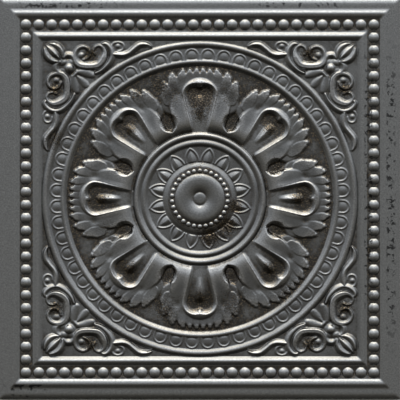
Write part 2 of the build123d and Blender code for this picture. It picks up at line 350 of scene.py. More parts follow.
def spoon_height(u, v, around):
    """Height of the spoon: rim, hollow, rib and nub. `around` is the height of what it grows from."""
    inside = capsule(u, v)
    ahead = np.clip((u - HEAD) / np.maximum(np.hypot(u - HEAD, v), 0.1), 0.0, 1.0)
    inset = RIM_SIDE + RIM_AHEAD * ahead**AHEAD_POWER
    crest, floor = track(u, CREST), track(u, FLOOR)
    skirt = SKIRT * (1.0 - ahead) * ease(*SKIRT_GROWS, u)
    outer = around + (crest - around) * dome(inside + skirt, inset + skirt, RIM_POWER)
    cusp = np.exp(-((v / CUSP_HALF) ** 2)) * ease(*CUSP_GROWS, u)
    depth_in = inside - inset - CUSP_INSET * cusp
    wall = track(u, WALL) + CUSP_WALL * cusp
    bowl = crest - (crest - floor) * dome(depth_in, wall, BOWL_POWER)
    off_rib = np.clip(np.hypot(v, RIB_BLUNT) / track(u, RIB_HALF), 0.0, 1.0)
    rib = floor + track(u, RIB_RISE) * (1.0 - off_rib**RIB_POWER)
    nub = np.clip(1.0 - ((u - NUB_PLACE) ** 2 + v**2) / NUB_RADIUS**2, 0.0, 1.0)
    inner = soft_max(bowl, rib, RIB_FILLET) + NUB_RISE * nub
    return np.where(depth_in > 0, inner, np.maximum(outer, around))


print("a spoon is", round(HEAD + HEAD_RADIUS - FOOT + FOOT_RADIUS, 2), "mm long")

# %% [markdown]
# ### Lobes
# The lobes lie over each other like scales. Each could be a small mesh of its own, laid over the
# next, but then the skin would have gaps under them. As a rule, each is a pad with a sharp edge
# towards the middle of the leaf, where it stands a little higher than its neighbour, and a long
# soft slope on its outer side and at its tip. Three numbers a point describe one: place along,
# place across, half width. `BARE_FROM` says from which share of its length its side lies free.

# %% Lobes that overlap like scales
LOBES = [
    [(58.5, 1.8, 1.75), (62.3, 1.75, 1.9), (64.1, 1.6, 1.25), (65.4, 1.5, 0.4)],
    [(57.8, 5.3, 1.7), (61.9, 5.15, 1.9), (63.7, 5.0, 1.25), (65.0, 4.85, 0.4)],
    [(55.5, 9.3, 1.8), (58.5, 9.1, 2.15), (61.1, 8.9, 2.4), (63.3, 8.6, 1.5), (64.8, 8.4, 0.5)],
    [
        (52.5, 12.6, 1.8), (54.5, 13.0, 2.3), (57.2, 13.5, 2.75), (59.6, 13.8, 2.5),
        (61.5, 13.8, 1.5), (62.9, 13.8, 0.5),
    ],
    [
        (48.5, 16.0, 2.4), (51.0, 16.6, 3.1), (53.2, 16.8, 3.05), (55.4, 17.3, 2.5),
        (57.2, 17.9, 1.5), (58.4, 18.3, 0.5),
    ],
]
BARE_FROM = [0.8, 0.75, 0.6, 0.4, 0.22]
GROUND_LEVEL, LOBE_LEVEL, LOBE_DROOP, LOBE_TILT, LOBE_STEP = 8.4, 8.7, 0.36, 0.3, 0.06
SHARP_EDGE, SOFT_EDGE, EDGE_POWER, STEP_WIDTH = 0.25, 0.85, 1.5, 0.85
GROWS, DROOPS, TIP, OPEN_SIDE, LAYS_BARE = (0.0, 0.6), (0.45, 1.1), (0.88, 1.0), (-0.35, 0.5), 0.2


def lobe_height(u, v, line, bare_from):
    """A scale, sharp on its inner side. Its outer side slopes where it is bare, and so does its tip."""
    inside, side, share, _ = stroke_place(u, v, line)
    fade = ease(*GROWS, share)
    bare = ease(*OPEN_SIDE, side) * ease(bare_from, bare_from + LAYS_BARE, share)
    outer_side = np.maximum(bare, ease(*TIP, share))
    slope = dome(inside, SHARP_EDGE + SOFT_EDGE * outer_side, EDGE_POWER - 0.3 * outer_side)
    rise = LOBE_LEVEL - GROUND_LEVEL
    level = GROUND_LEVEL + rise * fade * (1.0 - LOBE_TILT * np.clip(side, 0.0, 1.0))
    level = level - LOBE_DROOP * ease(*DROOPS, share)
    step = (rise + LOBE_STEP) * fade * (1.0 - outer_side) * (1.0 - ease(0.0, STEP_WIDTH, inside))
    return FIELD + (level - FIELD) * slope - step


print(2 * len(LOBES), "lobes on each leaf")

# %% [markdown]
# ### Shoulders and the gap between two leaves
# A shoulder is a flat plate beside the spoon. It climbs from the ring, ends in a small cliff over
# the last lobe, and falls to a drop-shaped basin between each two leaves. A boolean cut would leave
# a sharp edge there, so the basin is pressed into the height instead. It is described from its own
# axis: `h` runs outwards along it and `g` is the distance from it. Two widths, that of its top and
# that of its floor, make a wall that is wide in the middle and steep at the ends.

# %% Basin, shoulder and last lobe
BASIN_AT = [35.7, 36.2, 37.0, 38.0, 39.5, 40.7, 42.0, 43.2, 44.1, 45.0, 46.0, 47.4, 49.0, 51.3, 54.0, 57.0]
BASIN_TOP = [0.0, 1.7, 2.9, 3.75, 4.4, 4.6, 4.5, 4.05, 3.4, 2.6, 1.7, 0.85, 0.6, 1.5, 2.0, 2.3]
FLOOR_AT = [36.9, 37.4, 38.2, 39.2, 40.5, 42.8, 44.0, 45.3, 46.4, 50.0, 54.0, 56.0]
FLOOR_HALF = [-0.6, 0.7, 1.45, 1.8, 1.9, 1.8, 1.1, 0.4, 0.1, 0.1, 0.35, 0.5]
VALLEY_AT, VALLEY = [45.0, 46.5, 48.0, 49.5, 51.0, 52.5, 54.5], [7.3, 7.7, 8.0, 8.0, 7.8, 7.65, FIELD]
GROUND = [(46.0, 11.5, 4.0), (52.0, 12.5, 4.4), (56.5, 10.0, 4.6), (58.6, 5.0, 3.9), (58.8, 0.0, 3.9)]
SHOULDER = [(33.4, 6.5, 5.6), (40.0, 9.0, 5.6), (44.5, 9.6, 5.6), (47.4, 9.2, 5.6), (49.2, 9.0, 4.9)]
SHOULDER_INNER, CLIFF, CLIFF_POWER, SHOULDER_ENDS = 43.6, 1.05, 1.3, (48.0, 52.5)
PLATE = [
    (33.3, 7.8), (34.2, 8.15), (35.2, 8.65), (36.2, 9.05), (37.4, 9.35), (39.0, 9.5), (41.0, 9.45),
    (47.0, 9.0), (52.0, 8.6),
]
LAST_LOBE = [(44.0, -2.2, 3.4), (50.0, -2.2, 3.3), (52.6, -2.3, 2.8)]
LAST_LEVEL, LAST_SLOPE, LAST_POWER = 8.1, 1.0, 1.5
PIT_PLACE, PIT_SIZE, PIT_DEPTH = (52.4, 11.2), (3.6, 2.4), 0.3
BESIDE_WIDTH, BESIDE_RISE, BESIDE_ENDS = 2.6, 0.2, (54.0, 58.0)
PLATE_LIFT, PLATE_LIFTS = 0.15, (36.0, 41.0)
GROUND_EDGE, BASIN_POWER, SPOON_REACH = 0.6, 1.15, -1.0


def leaf_height(r, angle):
    """Everything between the heart and the egg moulding."""
    a = np.abs(fold(angle, 8))
    u, v = r * np.cos(a), r * np.sin(a)
    h, g = r * np.cos(math.pi / 8 - a), r * np.sin(math.pi / 8 - a)
    height = FIELD + (GROUND_LEVEL - FIELD) * ease(-GROUND_EDGE, GROUND_EDGE, stroke(u, v, GROUND))
    for line, bare_from in zip(LOBES, BARE_FROM):
        height = np.maximum(height, lobe_height(u, v, line, bare_from))
    last = FIELD + (LAST_LEVEL - FIELD) * dome(stroke(h, -g, LAST_LOBE), LAST_SLOPE, LAST_POWER)
    height = np.maximum(height, last)
    pit = np.hypot((u - PIT_PLACE[0]) / PIT_SIZE[0], (v - PIT_PLACE[1]) / PIT_SIZE[1])
    height -= PIT_DEPTH * (1.0 - ease(0.0, 1.0, pit))
    beside = 1.0 - ease(0.0, BESIDE_WIDTH, -capsule(u, v))
    height += BESIDE_RISE * beside * (1.0 - ease(*BESIDE_ENDS, u))
    plate = track(r, PLATE) + PLATE_LIFT * ease(*PLATE_LIFTS, u) * beside
    on_shoulder = np.maximum(stroke(u, v, SHOULDER), SHOULDER_INNER - h)
    over = dome(on_shoulder, CLIFF, CLIFF_POWER) * (1.0 - ease(*SHOULDER_ENDS, u))
    height += np.maximum(plate - height, 0.0) * over
    height = np.where(capsule(u, v) > SPOON_REACH, spoon_height(u, v, height), height)
    top, floor = np.interp(h, BASIN_AT, BASIN_TOP), np.interp(h, FLOOR_AT, FLOOR_HALF)
    wall = np.clip((top - g) / np.maximum(top - floor, 0.05), 0.0, 1.0) ** BASIN_POWER
    bottom = np.interp(h, VALLEY_AT, VALLEY)
    sunk = bottom + np.maximum(height - bottom, 0.0) * (1.0 - wall)
    in_basin = (h > BASIN_AT[0]) & (h < BASIN_AT[-1])
    return np.where(in_basin, np.minimum(height, sunk), height)


print("a basin is", round(2 * max(BASIN_TOP), 2), "mm wide at its widest")

# %% [markdown]
# ## Corner ornaments
# The four corners hold the same spray: a round bud in the corner, a knot of small petals, a
# C-scroll that curls in at both ends, a husk that runs along its back, a spiral with its tail, and
# a palmette towards the ring. It is the same on both sides of the diagonal, so again one half is
# enough: `p` runs along the side of the field and `q` towards it, with `q` the larger.

# %% Strokes of the corner
C_SCROLL = [
    (57.9, 69.3, 0.9), (55.9, 70.2, 1.0), (54.8, 72.4, 1.1), (55.7, 74.6, 1.15), (58.2, 75.7, 1.15),
    (60.9, 74.5, 1.2), (62.1, 71.8, 1.4), (61.9, 69.0, 1.9), (60.2, 67.0, 2.2), (57.6, 66.3, 2.3),
    (53.9, 66.2, 2.25), (50.6, 66.9, 2.4), (48.5, 69.3, 2.5), (47.5, 72.3, 1.9), (48.1, 74.8, 1.3),
    (50.0, 76.2, 1.0), (52.1, 75.4, 0.9), (52.9, 73.4, 0.85), (52.2, 71.9, 0.85),
]
VOLUTE_EYE = (59.0, 71.4, 1.7)
HUSK = [
    (48.6, 77.0, 0.8), (47.2, 77.3, 1.5), (45.5, 76.2, 1.8), (44.1, 74.0, 1.8), (43.7, 71.0, 1.9),
    (44.8, 68.3, 2.0), (46.7, 66.0, 1.9), (49.2, 63.9, 1.5), (52.0, 62.6, 1.0),
]
TAIL = [
    (24.2, 76.0, 0.6), (26.5, 76.9, 1.6), (30.0, 76.7, 2.0), (33.1, 74.5, 1.9), (35.4, 72.6, 1.9),
    (38.0, 71.7, 2.0), (41.0, 71.8, 1.9), (43.0, 72.0, 1.2),
]
SPIRAL = [
    (44.0, 75.6, 0.9), (43.1, 77.3, 0.85), (40.9, 78.0, 0.8), (38.6, 77.3, 0.8), (37.9, 75.6, 0.8),
    (38.7, 74.0, 0.8), (40.6, 73.5, 0.7),
]
SPIRAL_EYE = (40.9, 76.0, 1.4)


BENDS = 4


def smooth(line):
    """The same stroke with more points, so that it bends without corners."""
    points = np.array(line)
    along = np.arange(len(points), dtype=float)
    fine = np.linspace(0.0, along[-1], BENDS * (len(points) - 1) + 1)
    return np.stack([track(fine, list(zip(along, column))) for column in points.T], axis=1)


def plump(x, y, line, rise, power):
    """A rounded ridge on the field, highest along its line. A lower power makes it more like a roof."""
    inside, _, _, half = stroke_place(x, y, smooth(line))
    off_line = np.clip(1.0 - inside / half, 0.0, 1.0)
    return SPANDREL + rise * np.clip(1.0 - off_line**power, 0.0, 1.0)


FULL_HALF, THINNER_LOWER, RIBBON_POWER = 2.3, 0.8, 1.3
OUTER_SLOPE, INNER_SLOPE_MORE, CHANNEL_SHARE, CHANNEL_WIDTHS = 0.55, 0.4, 0.6, (1.0, 1.9)


def ribbon(x, y, line, rise, dip):
    """A band on the field, with a wide slope on its inner side and a shallow channel along it."""
    inside, side, _, half = stroke_place(x, y, smooth(line))
    slope = half * (OUTER_SLOPE + INNER_SLOPE_MORE * ease(0.3, -0.5, side))
    channel = dip * np.clip(1.0 - (side / CHANNEL_SHARE) ** 2, 0.0, 1.0) * ease(*CHANNEL_WIDTHS, half)
    crest = rise * np.minimum(half / FULL_HALF, 1.0) ** THINNER_LOWER
    return SPANDREL + (crest - channel) * dome(inside, slope, RIBBON_POWER)


def ball(x, y, place, rise):
    """A low round lump on the field."""
    px, py, radius = place
    return SPANDREL + rise * np.clip(1.0 - ((x - px) ** 2 + (y - py) ** 2) / radius**2, 0.0, 1.0)


print("the C-scroll is drawn with", len(C_SCROLL), "points and bends through", len(smooth(C_SCROLL)))

# %% [markdown]
# ### Bud, knot and palmette
# The bud is three plump petals that close to a round shape, the knot is a small flower with a ball
# in its middle, and the palmette is a knob with leaflets that fan out. Metaballs would join such
# lumps too, but they round off every edge. Here each is a low form of its own, and `soft_max` joins
# them with a narrow fillet, as a modeller's tool leaves it. The bud lies on the diagonal, so it
# uses `d` along the diagonal and `e` across it.

# %% Corner ornaments together
BUD_CENTRE, BUD_RADIUS, BUD_DOME, PETAL_RISE, PETAL_POWER = 102.8, 5.8, 1.2, 1.2, 1.2
BUD_MIDDLE = [
    (98.6, 0.0, 0.5), (100.5, 0.0, 1.4), (103.5, 0.0, 1.95), (106.3, 0.0, 1.5), (108.2, 0.0, 0.6),
]
BUD_SIDE = [
    (98.0, 1.3, 0.9), (99.8, 3.1, 1.7), (102.8, 3.9, 1.95), (105.7, 3.2, 1.7), (107.6, 1.8, 0.9),
]

KNOT_BASE = (65.6, 65.6, 4.4, 1.0)
KNOT = [(65.0, 65.0, 2.4, 1.1), (68.5, 68.5, 2.4, 0.95), (62.6, 68.9, 2.5, 0.6)]
KNOT_PETAL = [(62.9, 69.8, 1.6), (64.2, 71.4, 2.0), (66.6, 71.4, 2.0), (68.0, 69.8, 1.2)]
KNOB = [(61.0, 63.0, 1.2), (62.6, 61.6, 1.3)]
LONG_LEAFLET = [(60.8, 63.2, 1.4), (57.8, 62.9, 2.2), (55.4, 62.2, 2.3), (53.6, 61.5, 1.7)]
SHORT_LEAFLET = [(61.2, 60.2, 1.4), (59.2, 58.7, 2.1), (57.2, 57.2, 2.1), (56.2, 56.4, 1.6)]
FILLET = 0.15


def bud_height(d, e):
    """Three plump petals on a low dome."""
    base = BUD_DOME * np.clip(1.0 - np.hypot(d - BUD_CENTRE, e) ** 2 / BUD_RADIUS**2, 0.0, 1.0)
    middle = plump(d, e, BUD_MIDDLE, PETAL_RISE, PETAL_POWER)
    sides = plump(d, np.abs(e), BUD_SIDE, PETAL_RISE, PETAL_POWER)
    return np.maximum(middle, sides) + base


def knot_height(p, q):
    """Small lumps that stand on one low dome."""
    lumps = np.maximum.reduce([ball(p, q, lump[:3], lump[3]) for lump in KNOT])
    return lumps + ball(p, q, KNOT_BASE[:3], KNOT_BASE[3]) - SPANDREL


def corner_height(x, y):
    """Height of the corner ornaments on the field. Each form has its rise, and ridges a power."""
    p, q = np.minimum(np.abs(x), np.abs(y)), np.maximum(np.abs(x), np.abs(y))
    d, e = (p + q) / math.sqrt(2), (q - p) / math.sqrt(2)
    parts = [
        plump(p, q, HUSK, 1.38, 1.4),
        plump(p, q, TAIL, 1.55, 1.25),
        plump(p, q, SPIRAL, 0.6, 1.2),
        ball(p, q, SPIRAL_EYE, 0.7),
        ribbon(p, q, C_SCROLL, 1.8, 0.12),
        ball(p, q, VOLUTE_EYE, 0.8),
        bud_height(d, e),
        plump(p, q, KNOT_PETAL, 1.3, 1.4),
        knot_height(p, q),
        plump(p, q, KNOB, 0.9, 1.5),
        plump(p, q, LONG_LEAFLET, 0.8, 2.3),
        plump(p, q, SHORT_LEAFLET, 0.65, 2.3),
    ]
    height = np.full(np.shape(p), SPANDREL)
    for part in parts:
        height = soft_max(height, part, FILLET)
    return height


print("the knot has", len(KNOT), "lumps, and the bud is", 2 * BUD_RADIUS, "mm across")

# %% [markdown]
# ## One height for the whole face
# The zones above are chosen by where the point lies. Neighbouring zones overlap a little, and the
# higher one wins, as where one form of clay grows out of another. This rule is used for the grids,
# and later to find the hollows where glaze pools.

# %% Height anywhere on the face
LEAF_EDGE = 66.6
EGG_START, EGG_EDGE = 65.9, 79.4
CORNER_START, SQUARE_EDGE = 77.0, 78.9


def egg_zone(r, angle):
    """Egg moulding with the ring on each side of it."""
    between = (r > INNER_RING[1][0]) & (r < OUTER_RING[1][0])
    eggs = np.where(between, egg_height(r, angle), FIELD)
    return np.maximum.reduce([eggs, ring(r, INNER_RING), ring(r, OUTER_RING)])


def relief(x, y):
    """Height of the glazed face above the back at any point, in millimetres."""
    r, angle = np.hypot(x, y), np.arctan2(x, y)
    c = np.maximum(np.abs(x), np.abs(y))
    height = np.full(np.shape(x), FIELD)
    zones = [
        (r <= HEART_EDGE, heart_height, (r, angle)),
        ((r > HEART_EDGE) & (r <= LEAF_EDGE), leaf_height, (r, angle)),
        ((r > EGG_START) & (r <= EGG_EDGE), egg_zone, (r, angle)),
        ((r > CORNER_START) & (c <= SQUARE_EDGE), corner_height, (x, y)),
        (c > SECTION[0][0], border_height, (x, y)),
    ]
    for where, rule, places in zones:
        if where.any():
            value = rule(places[0][where], places[1][where])
            height[where] = np.maximum(height[where], value)
    return height


heights = relief(np.array([0.0, 0.0, 0.0]), np.array([0.0, 50.0, 98.0]))
print("heights of button, spoon and band:", np.round(heights, 2).tolist(), "mm")

# %% [markdown]
# ## Hollows
# Glaze runs off high places and pools in low ones, and hollows lie in shade, so the finish needs to
# know where the hollows are. It darkens them, partly for the pooled glaze and partly as painted
# shade. The face is sampled on a fine square sheet, the sheet is blurred, and a point that lies well
# below the blurred level is in a hollow. The value is kept on every mesh point as an attribute. The
# darkening is made stronger on the lowest ground, among the leaves, in the channel of the beads and
# round the fine beads, and weaker on the border, so the value is raised or lowered there.

# %% Map of the hollows
STEP, BLUR, WINDOW = 0.4, 2.5, 18
axis = np.arange(-HALF, HALF + STEP / 2, STEP)
sheet_x, sheet_y = np.meshgrid(axis, axis, indexing="ij")
sheet = relief(sheet_x, sheet_y)
reach = np.arange(-WINDOW, WINDOW + 1) * STEP
weights = np.exp(-(reach**2) / (2 * BLUR**2))
weights /= weights.sum()
blurred = sheet
for turn in range(2):
    padded = np.pad(blurred, ((WINDOW, WINDOW), (0, 0)), mode="edge")
    blurred = sum(w * padded[k : k + len(axis)] for k, w in enumerate(weights)).T

LAST_SLOT = len(axis) - 1.001
# painted shade: extra darkening on the lowest ground, among the leaves, in the bead channel and round the
# fine beads
LOW_EXTRA, LOW_RANGE = 0.25, 0.3
LEAVES, LEAVES_TIMES = (34.0, 66.0), 1.6
BEAD_CHANNEL, CHANNEL_EXTRA = (83.2, 89.8), 0.3
FINE_CHANNEL, FINE_TOP, FINE_EXTRA = (12.0, 16.0), 9.7, 0.8
BORDER_FROM, BORDER_TIMES, BORDER_LESS = 78.5, 0.4, 0.1


def hollow_at(x, y, z):
    """How far a point lies below the blurred level, raised on low ground: dark partly of pooled glaze,
    partly painted shade.
    """
    fx = np.clip((x + HALF) / STEP, 0, LAST_SLOT)
    fy = np.clip((y + HALF) / STEP, 0, LAST_SLOT)
    ix, iy = fx.astype(int), fy.astype(int)
    tx, ty = fx - ix, fy - iy
    near = blurred[ix, iy] * (1 - ty) + blurred[ix, iy + 1] * ty
    far = blurred[ix + 1, iy] * (1 - ty) + blurred[ix + 1, iy + 1] * ty
    value = near * (1 - tx) + far * tx - z + LOW_EXTRA * (1.0 - ease(FIELD, FIELD + LOW_RANGE, z))
    r, c = np.hypot(x, y), np.maximum(np.abs(x), np.abs(y))
    in_leaves = (r > LEAVES[0]) & (r < LEAVES[1])
    in_channel = (c > BEAD_CHANNEL[0]) & (c < BEAD_CHANNEL[1])
    in_fine = (r > FINE_CHANNEL[0]) & (r < FINE_CHANNEL[1]) & (z < FINE_TOP)
    value = np.where(in_leaves, value * LEAVES_TIMES, value)
    value = np.where(in_channel, value + CHANNEL_EXTRA, value)
    value = np.where(in_fine, value + FINE_EXTRA, value)
    return np.where((c > BORDER_FROM) & ~in_channel, value * BORDER_TIMES - BORDER_LESS, value)


print("deepest hollow", round(float((blurred - sheet).max()), 2), "mm")

# %% [markdown]
# ## Pools and chips
# On this tile the dark glaze also lies in larger pools: in every spoon and basin, inside each
# C-scroll, and here and there on the ground. Inside the C-scrolls the pool is partly painted shadow.
# They could be painted by hand on the mesh, but a short list is easier to change. A pool is a soft
# patch with a place, a radius and a strength. Near the edge the glaze is chipped in a few places. A
# chipped place is a box with a middle, a half length and a half width, and a noise pattern later
# decides where in the box the chips are.

# %% Pools and chips
POOLS = [
    (0.0, 50.0, 8.0, 1.0), (0.0, 42.0, 5.0, 0.7), (-14.0, 52.0, 9.0, 0.5), (14.0, 52.0, 9.0, 0.46),
    (-21.0, 57.0, 7.0, 0.8), (-31.0, 52.0, 5.0, 0.6), (27.0, 57.0, 6.0, 0.4), (55.0, 22.0, 6.0, 0.4),
    (-44.0, -17.0, 8.0, 0.5), (16.0, -52.0, 9.0, 0.6), (-18.0, -55.0, 9.0, 0.6),
    (42.0, -46.0, 8.0, 0.5), (5.0, -18.5, 6.0, 1.0), (13.0, -13.5, 6.0, 1.0), (17.5, -4.0, 4.5, 0.85),
    (-72.0, 30.0, 7.0, 0.6), (-70.0, 72.0, 9.0, 0.5), (0.0, 14.0, 4.0, 0.5), (-10.0, 9.0, 4.0, 0.4),
    (64.0, -68.0, 14.0, 0.33),
]
# inside the C-scrolls the pool is partly painted shadow
SPOON_POOL, BASIN_POOL, SCROLL_POOL_AND_SHADOW = (50.5, 5.6, 0.9), (41.5, 5.0, 0.72), (4.6, 0.95)
SCROLL_NEAR, SCROLL_FAR = 54.5, 72.0
CORNERS = [(1, 1), (1, -1), (-1, -1), (-1, 1)]
for k in range(8):
    for turn, (out, radius, strength) in [(k, SPOON_POOL), (k + 0.5, BASIN_POOL)]:
        angle = math.pi / 4 * turn
        POOLS.append((out * math.sin(angle), out * math.cos(angle), radius, strength))
for sx, sy in CORNERS:
    POOLS.append((SCROLL_NEAR * sx, SCROLL_FAR * sy, *SCROLL_POOL_AND_SHADOW))
    POOLS.append((SCROLL_FAR * sx, SCROLL_NEAR * sy, *SCROLL_POOL_AND_SHADOW))

CHIPS = [
    (-64.0, 96.4, 24.0, 1.4), (50.0, 96.5, 20.0, 1.2), (95.2, 0.0, 2.2, 66.0),
    (-90.0, -98.6, 7.0, 1.2), (84.0, 10.0, 2.0, 60.0), (-86.0, -94.0, 10.0, 1.5),
]
CHIP_EDGE = (0.7, 1.3)
FRAME_EDGE = (SQUARE_EDGE - 1.0, SQUARE_EDGE + 2.0)
BOSS_SHADE, BOSS_TO_FIELD = 0.6, (13.0, 20.0)
# painted highlight: how much the leaf roots are lightened, and between which distances
ROOTS_HIGHLIGHT, ROOTS_FROM, ROOTS_TO = 0.75, (33.0, 34.5), (38.0, 46.0)


def pool_at(x, y):
    """Strength of the pools at a point, from 0 to 1."""
    total = np.zeros(np.shape(x))
    for px, py, radius, strength in POOLS:
        total = np.maximum(total, strength * np.exp(-(((x - px) ** 2 + (y - py) ** 2) / radius**2)))
    return total


def chips_at(x, y):
    """Share of places where chips of the glaze may be missing, from 0 to 1."""
    total = np.zeros(np.shape(x))
    for px, py, long, wide in CHIPS:
        inside = np.maximum(np.abs(x - px) / long, np.abs(y - py) / wide)
        total = np.maximum(total, 1.0 - ease(*CHIP_EDGE, inside))
    return total


def shade_at(x, y):
    """1 on the sunken field, painted darker; less on the boss, and on the leaf roots as a painted
    highlight; 0 on the border.
    """
    c, r = np.maximum(np.abs(x), np.abs(y)), np.hypot(x, y)
    inside = 1.0 - ease(*FRAME_EDGE, c)
    # painted highlight: the rising roots of the leaves are lightened
    painted_highlight = ROOTS_HIGHLIGHT * ease(*ROOTS_FROM, r) * (1.0 - ease(*ROOTS_TO, r))
    outwards = BOSS_SHADE + (1.0 - BOSS_SHADE) * ease(*BOSS_TO_FIELD, r)
    return inside * outwards * (1.0 - painted_highlight)


print(len(POOLS), "pools and", len(CHIPS), "chipped places")

# %% [markdown]
# ## Grids that follow the pattern
# A grid shows a form best when its lines run along it. One fine square grid for the whole tile
# would need far more points, and round forms would get ragged edges. So the face is meshed in
# zones: round grids for the heart, the leaves and the eggs, square rings for the border, and fine
# square grids in the corners. Neighbouring grids overlap a little, and meet on a crease.

# %% Mesh helpers
pieces = []


def make_piece(name, points, faces, smooth_faces=True):
    """A mesh object from points in millimetres, with the four values that steer its finish."""
    points = np.asarray(points, dtype=float)
    mesh = bpy.data.meshes.new(name)
    mesh.from_pydata((points * MM).tolist(), [], faces)
    mesh.update()
    if smooth_faces:
        mesh.shade_smooth()
    x, y, z = points.T
    values = {
        "hollow": hollow_at(x, y, z),
        "pool": pool_at(x, y),
        "shade": shade_at(x, y),
        "chips": chips_at(x, y),
    }
    for value_name, value in values.items():
        layer = mesh.attributes.new(value_name, "FLOAT", "POINT")
        layer.data.foreach_set("value", value)
    piece = bpy.data.objects.new(name, mesh)
    bpy.context.scene.collection.objects.link(piece)
    pieces.append(piece)
    return piece


def grid_faces(rows, columns, closed=False):
    """Faces of a grid whose points are listed row by row."""
    row, column = np.meshgrid(np.arange(rows - 1), np.arange(columns if closed else columns - 1))
    row, column = row.T.ravel(), column.T.ravel()
    beside = (column + 1) % columns
    a, b = row * columns + column, row * columns + beside
    return np.stack([a, b, b + columns, a + columns], axis=1)


def round_grid(name, radii, angles, rule, closed):
    """A grid of points on rays and circles, lifted by a height rule."""
    rr, aa = np.meshgrid(radii, angles, indexing="ij")
    points = np.stack([rr * np.sin(aa), rr * np.cos(aa), rule(rr, aa)], axis=-1)
    faces = grid_faces(len(radii), len(angles), closed)[:, ::-1]
    return make_piece(name, points.reshape(-1, 3), faces.tolist())


# %% Heart, leaves and eggs
POLE, STEP_OUT, LAP = 0.05, 0.3, 0.2
HEART_RAYS, LEAF_RAYS, EGG_RAYS = 576, 145, 26 * EGGS


def circle(count):
    """Evenly spaced angles for a whole turn."""
    return np.arange(count) * 2 * math.pi / count


heart_radii = np.arange(POLE, HEART_EDGE + LAP, STEP_OUT)
round_grid("heart", heart_radii, circle(HEART_RAYS), heart_height, True)
leaf_radii = np.append(np.arange(HEART_EDGE, LEAF_EDGE, STEP_OUT), LEAF_EDGE)
for k in range(8):
    sector = math.radians(45) * (k + np.linspace(-0.5, 0.5, LEAF_RAYS))
    round_grid(f"leaf_{k + 1}", leaf_radii, sector, leaf_height, False)

egg_radii = np.arange(EGG_START, EGG_EDGE + LAP / 2, STEP_OUT)
round_grid("egg_ring", egg_radii, circle(EGG_RAYS), egg_zone, True)
print("so far", ", ".join(piece.name for piece in pieces))

# %% [markdown]
# ## Corner fields
# Each corner is a square grid, because its scrolls run in every direction. Cells under the outer
# ring are left out, and the ring covers the ragged edge that this leaves.

# %% Corner fields
FINE, CORNER_FROM, CORNER_LAP, UNDER_RING = 0.28, 10.0, 0.4, 77.6
line = np.arange(CORNER_FROM, SQUARE_EDGE + CORNER_LAP, FINE)
gx, gy = np.meshgrid(line, line, indexing="ij")
corner_levels = corner_height(gx, gy)
for k, (sx, sy) in enumerate(CORNERS):
    points = np.stack([gx * sx, gy * sy, corner_levels], axis=-1).reshape(-1, 3)
    faces = grid_faces(len(line), len(line))
    if sx * sy > 0:
        faces = faces[:, ::-1]
    centre = points[faces].mean(axis=1)
    faces = faces[np.hypot(centre[:, 0], centre[:, 1]) > UNDER_RING]
    used, index = np.unique(faces, return_inverse=True)
    make_piece(f"corner_{k + 1}", points[used], index.reshape(faces.shape).tolist())

print("each corner has", len(faces), "faces")

# %% [markdown]
# ## Border
# The border is a set of square rings, mitred on the diagonals, so that every moulding keeps its
# section round the corner. Rings lie close where the section bends and wide apart where it is flat.
# The outermost go down the side of the tile, and the last two waver, as the foot of a glaze does.

# %% Border
BORDER_POINTS = 220
# Waves of the glaze's foot: their height, and how quickly they follow each other.
WAVES, RIPPLES = (0.3, 0.31), (0.2, 0.83)


def square_grid(name, profile, per_side):
    """Square rings through (distance, height) pairs, mitred at the corners, with a wavy foot."""
    share = np.linspace(-1.0, 1.0, per_side + 1)[:-1]
    ones = np.ones_like(share)
    ring_x = np.concatenate([share, ones, -share, -ones])
    ring_y = np.concatenate([ones, -share, -ones, share])
    points = []
    for distance, level in profile:
        x, y = ring_x * distance, ring_y * distance
        points.append(np.stack([x, y, np.full_like(x, level)], axis=-1))
    for row in points[-2:]:
        x, y = row[:, 0], row[:, 1]
        row[:, 2] += WAVES[0] * np.sin(WAVES[1] * (x - y))
        row[:, 2] += RIPPLES[0] * np.sin(RIPPLES[1] * (x + y) + 1.0)
    faces = grid_faces(len(profile), 4 * per_side, True)
    return make_piece(name, np.concatenate(points), faces[:, ::-1].tolist())


CLOSE, WIDE, TUCK = 0.2, 0.8, 0.3
SIDE_LEVEL, SIDE_FOOT, COAT = 5.0, 2.2, 0.08
across = np.concatenate([
    [UNDER_RING], np.arange(77.9, 83.7, CLOSE), np.arange(84.2, 89.3, WIDE),
    np.arange(89.5, 95.3, CLOSE), [95.8, 96.5], np.arange(97.2, HALF, CLOSE), [HALF],
])
levels = border_height(across, np.zeros_like(across))
levels[0] = SPANDREL - TUCK
profile = list(zip(across.tolist(), levels.tolist()))
profile += [(HALF, SIDE_LEVEL), (HALF, SIDE_FOOT), (HALF - COAT, SIDE_FOOT)]
border = square_grid("border", profile, BORDER_POINTS)
print("the border has", len(profile), "square rings and", len(border.data.polygons), "faces")

# %% [markdown]
# ## Beads
# A bead is the cap of a ball. Whole balls sunk into the channel would hide half of their faces, so
# a grid runs only from the pole down to a foot just below the channel, and its outline is a true
# circle. All the beads of one row are one mesh.

# %% Beads
BEAD_FOOT, BEAD_GRID, NEAR_POLE = 7.9, (10, 28), 0.02
FINE_CURVE, FINE_BEAD_TOP, FINE_FOOT, FINE_GRID = 1.52, 10.15, 8.3, (8, 20)


def bead_row(name, places, radius, curve, top, foot, grid):
    """Caps of balls at the given places, as one mesh. `curve` is the radius of the ball itself."""
    rings, around = grid
    reach = radius * np.sin(np.linspace(NEAR_POLE, math.pi / 2, rings))
    level = top - curve + np.sqrt(curve**2 - reach**2)
    reach, level = np.append(reach, reach[-1]), np.append(level, foot)
    turn = circle(around)
    flat = np.stack([np.outer(reach, np.sin(turn)), np.outer(reach, np.cos(turn))], axis=-1)
    cap = np.concatenate([flat, np.repeat(level, around).reshape(-1, around, 1)], axis=-1)
    cap = cap.reshape(-1, 3)
    faces = grid_faces(rings + 1, around, True)[:, ::-1]
    points = np.concatenate([cap + (x, y, 0.0) for x, y in places])
    all_faces = np.concatenate([faces + k * len(cap) for k in range(len(places))])
    return make_piece(name, points, all_faces.tolist())


